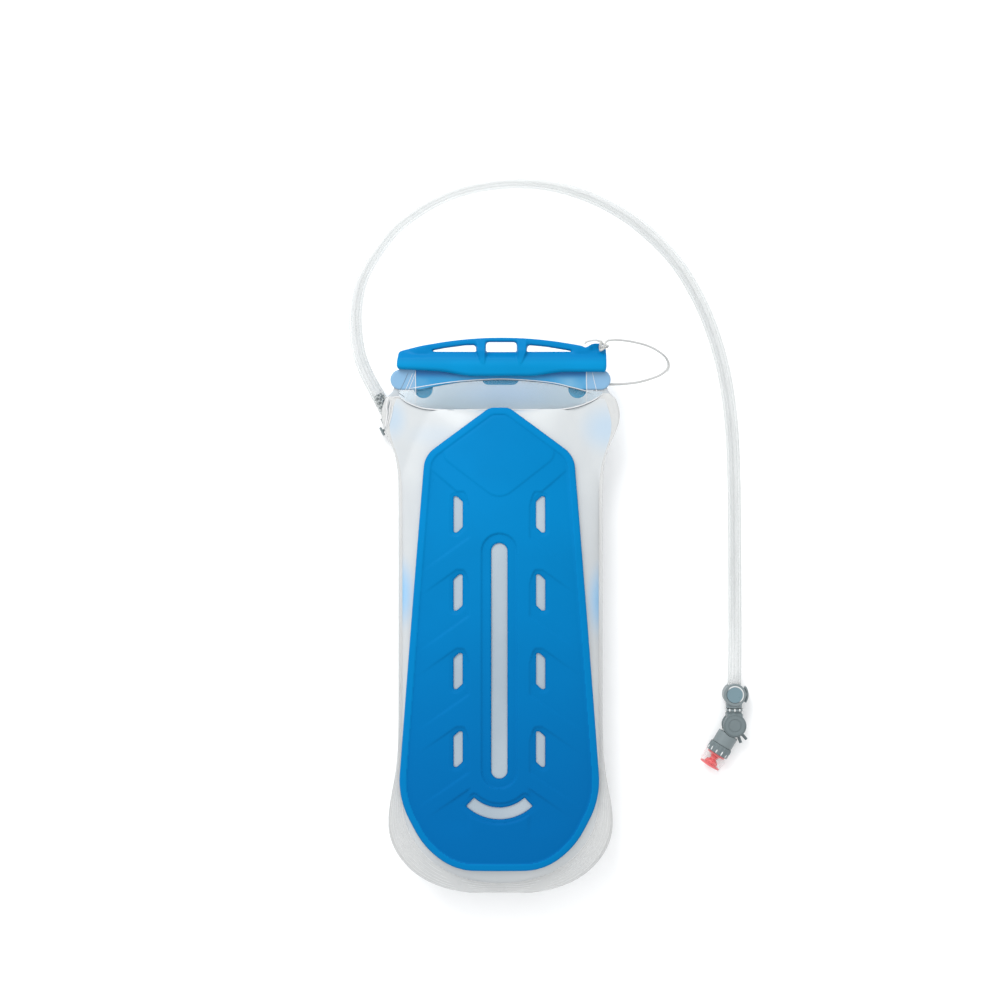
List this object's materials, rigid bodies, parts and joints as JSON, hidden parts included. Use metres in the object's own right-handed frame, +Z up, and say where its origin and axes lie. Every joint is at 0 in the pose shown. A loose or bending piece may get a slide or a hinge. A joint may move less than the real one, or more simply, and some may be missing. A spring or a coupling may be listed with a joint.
{
  "type": "hydration bladder",
  "caption": "Clear film water reservoir with a blue backer plate, slide-on closure with a carrying handle, and a clear drinking hose with quick connector and bite valve.",
  "frame": {"origin": "on the surface that the bag lies on, under the middle of the bag's box, leaving out the hose, its pieces and the leash", "axes": "X across the bag, +Y along it towards the closure, +Z up from the surface, out of the backer plate"},
  "size_m": [0.3054, 0.5429, 0.0599],
  "materials": {
    "clear_film": "clear, lightly crinkled film",
    "strip_film": "blue strip seen through milky film",
    "blue_plate": "satin moulded blue",
    "blue_slider": "semi-gloss moulded blue",
    "grey_plastic": "satin mid grey",
    "light_grey_plastic": "satin light grey",
    "dark_grey_plastic": "satin dark grey",
    "clear_tube": "clear flexible tube",
    "clear_cord": "clear elastic cord",
    "clear_silicone": "clear silicone",
    "coral_silicone": "coral red silicone",
    "black_rubber": "matt black",
    "spring_steel": "bright wire",
    "magnet": "plated"
  },
  "bodies": {
    "bag": {"front_panel": "clear_film", "rear_panel": "clear_film", "closure_strip_front": "strip_film", "closure_strip_rear": "strip_film", "folded_mouth": "clear_film", "backer_plate": "blue_plate", "backer_weld_spots": "blue_plate", "port_flange": "grey_plastic", "port_gasket": "black_rubber", "port_elbow": "grey_plastic", "dip_tube": "clear_tube", "dip_tube_clamp": "dark_grey_plastic", "leash_anchor": "clear_cord", "leash": "clear_cord", "button_spring": "spring_steel"},
    "slider": {"slider": "blue_slider", "leash_knot": "clear_cord"},
    "button": {"release_button": "light_grey_plastic"},
    "hose": {"hose_plug": "dark_grey_plastic", "plug_oring": "black_rubber", "hose": "clear_tube", "valve_barb": "dark_grey_plastic", "magnet_clip": "grey_plastic", "clip_magnet": "magnet", "magnet_cap": "light_grey_plastic"},
    "elbow": {"elbow_housing": "grey_plastic", "swivel_ring": "dark_grey_plastic", "pivot_pin": "spring_steel", "elbow_cap": "light_grey_plastic"},
    "barrel": {"valve_barrel": "light_grey_plastic", "valve_oring": "black_rubber", "valve_ring": "light_grey_plastic", "bite_core": "coral_silicone", "bite_sheath": "clear_silicone"},
    "lever": {"shutoff_lever": "dark_grey_plastic"}
  },
  "joints": [
    {"name": "slider_slide", "type": "slide", "parent": "bag", "child": "slider", "axis": [-1, 0, 0], "range_m": [0, 0.165]},
    {"name": "release_button_press", "type": "slide", "parent": "bag", "child": "button", "axis": [0.8746, 0.4848, 0], "range_m": [0, 0.0013], "stiffness_N_per_m": 1500, "springref_m": -0.0006},
    {"name": "hose_unplug", "type": "slide", "parent": "bag", "child": "hose", "axis": [-0.4848, 0.8746, 0], "range_m": [0, 0.02]},
    {"name": "valve_swivel", "type": "hinge", "parent": "hose", "child": "elbow", "pos_m": [0.1782, -0.0739, 0.0092], "axis": [0, 1, 0], "continuous": true},
    {"name": "valve_bend", "type": "hinge", "parent": "elbow", "child": "barrel", "pos_m": [0.1782, -0.0854, 0.0092], "axis": [0, 0, 1], "range_deg": [-58, 31]},
    {"name": "shutoff_turn", "type": "hinge", "parent": "barrel", "child": "lever", "pos_m": [0.1782, -0.0854, 0.0092], "axis": [0, 0, 1], "range_deg": [0, 51]}
  ]
}
